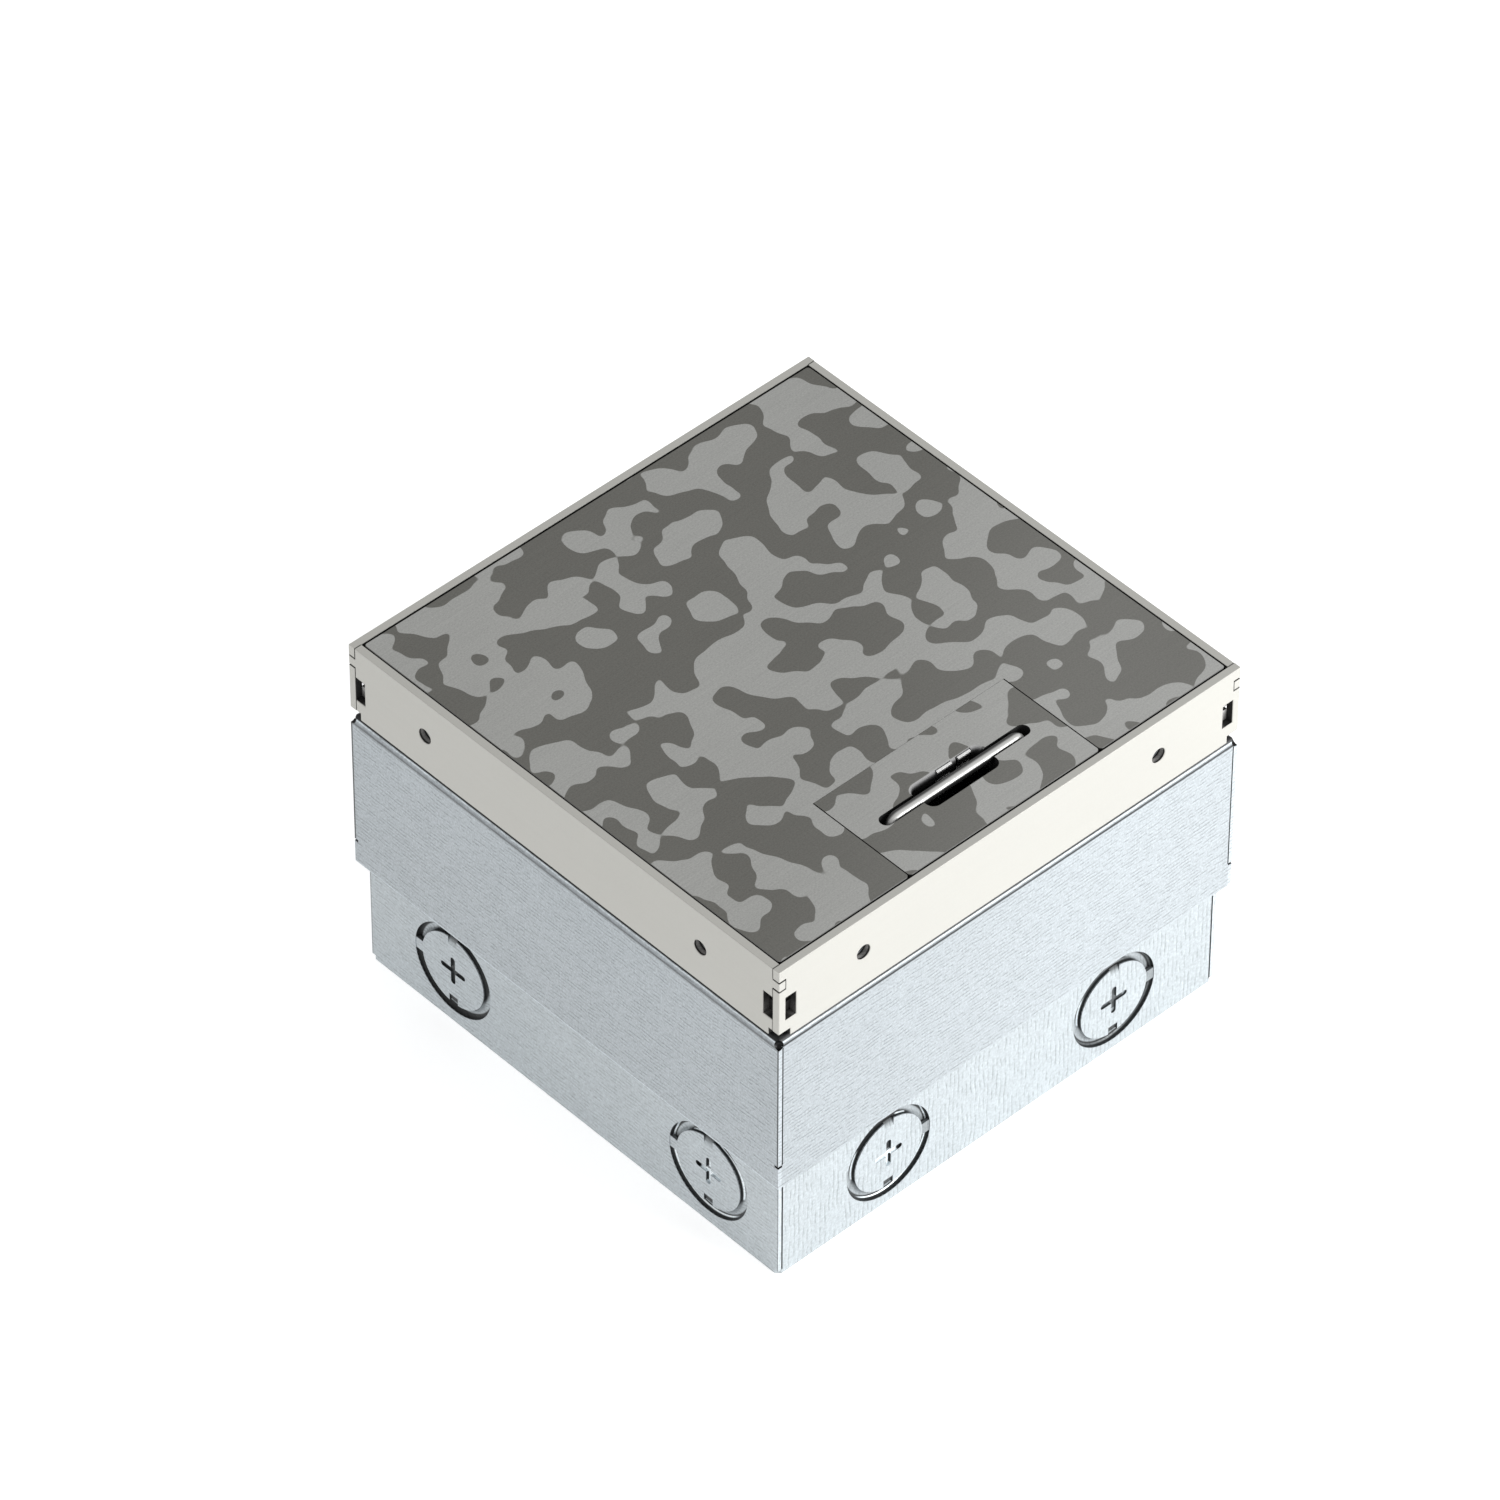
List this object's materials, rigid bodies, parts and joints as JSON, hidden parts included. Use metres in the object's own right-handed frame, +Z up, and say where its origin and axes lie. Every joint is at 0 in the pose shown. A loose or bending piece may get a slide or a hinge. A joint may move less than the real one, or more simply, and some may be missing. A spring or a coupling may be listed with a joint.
{
  "type": "floor socket box",
  "caption": "Square floor socket box: galvanised telescoping box with conduit knockouts, flush trim frame, hinged lid with cord flap and pull-up bar, earthed sockets inside.",
  "frame": {"origin": "middle of the underside", "axes": "+Z up, -Y towards the cord flap (front), +Y towards the lid pivot (rear)"},
  "size_m": [0.142, 0.142, 0.1005],
  "materials": {
    "patterned_stainless": "two-tone patterned brushed stainless",
    "trim_metal": "satin",
    "galvanised_sheet": "galvanised",
    "galvanised_inner": "galvanised",
    "dark_bracket": "matt",
    "polished_bar": "polished",
    "spring_steel": "bright",
    "stainless_pin": "turned",
    "zinc_screw": "zinc plated",
    "seal_rubber": "matt",
    "socket_white": "satin",
    "socket_grey": "matt",
    "contact_brass": "bright"
  },
  "bodies": {
    "base": {"base_box": "galvanised_sheet", "levelling_shelves": "galvanised_inner", "levelling_nuts": "zinc_screw", "earth_stud": "contact_brass", "earth_washer": "zinc_screw", "earth_nut": "contact_brass"},
    "sleeve": {"upper_sleeve": "galvanised_sheet", "trim_front": "trim_metal", "trim_rear": "trim_metal", "trim_left": "trim_metal", "trim_right": "trim_metal", "corner_brackets": "dark_bracket", "rest_rail_left": "galvanised_inner", "rest_rail_right": "galvanised_inner", "rest_rail_front": "galvanised_inner", "rear_rail": "galvanised_inner", "lid_seal": "seal_rubber", "lid_pivot_pins": "stainless_pin", "levelling_screws": "zinc_screw", "screw_retainers": "zinc_screw", "device_carrier": "galvanised_inner", "carrier_screws": "zinc_screw", "socket_cover_left": "socket_white", "socket_cover_right": "socket_white", "socket_housing_left": "socket_grey", "socket_housing_right": "socket_grey", "socket_well_left": "socket_white", "socket_well_right": "socket_white", "pin_contacts": "contact_brass", "earth_clips": "contact_brass", "terminal_screws": "zinc_screw"},
    "lid": {"lid_plate": "patterned_stainless", "lid_backing": "galvanised_inner", "lid_stiffeners": "galvanised_inner", "flap_pivot_pins": "stainless_pin"},
    "flap": {"flap_plate": "patterned_stainless", "flap_backing": "galvanised_inner", "guide_bushes": "contact_brass", "detent_springs": "spring_steel"},
    "handle": {"handle_bar": "polished_bar", "handle_clips": "spring_steel"}
  },
  "joints": [
    {"name": "height_slide", "type": "slide", "parent": "base", "child": "sleeve", "axis": [0, 0, 1], "range_m": [0, 0.02]},
    {"name": "lid_hinge", "type": "hinge", "parent": "sleeve", "child": "lid", "pos_m": [0, 0.06345, 0.0985], "axis": [-1, 0, 0], "range_deg": [0, 100]},
    {"name": "flap_hinge", "type": "hinge", "parent": "lid", "child": "flap", "pos_m": [0, -0.04645, 0.0986], "axis": [-1, 0, 0], "range_deg": [0, 100]},
    {"name": "handle_slide", "type": "slide", "parent": "flap", "child": "handle", "axis": [0, 0, 1], "range_m": [0, 0.0095]}
  ]
}
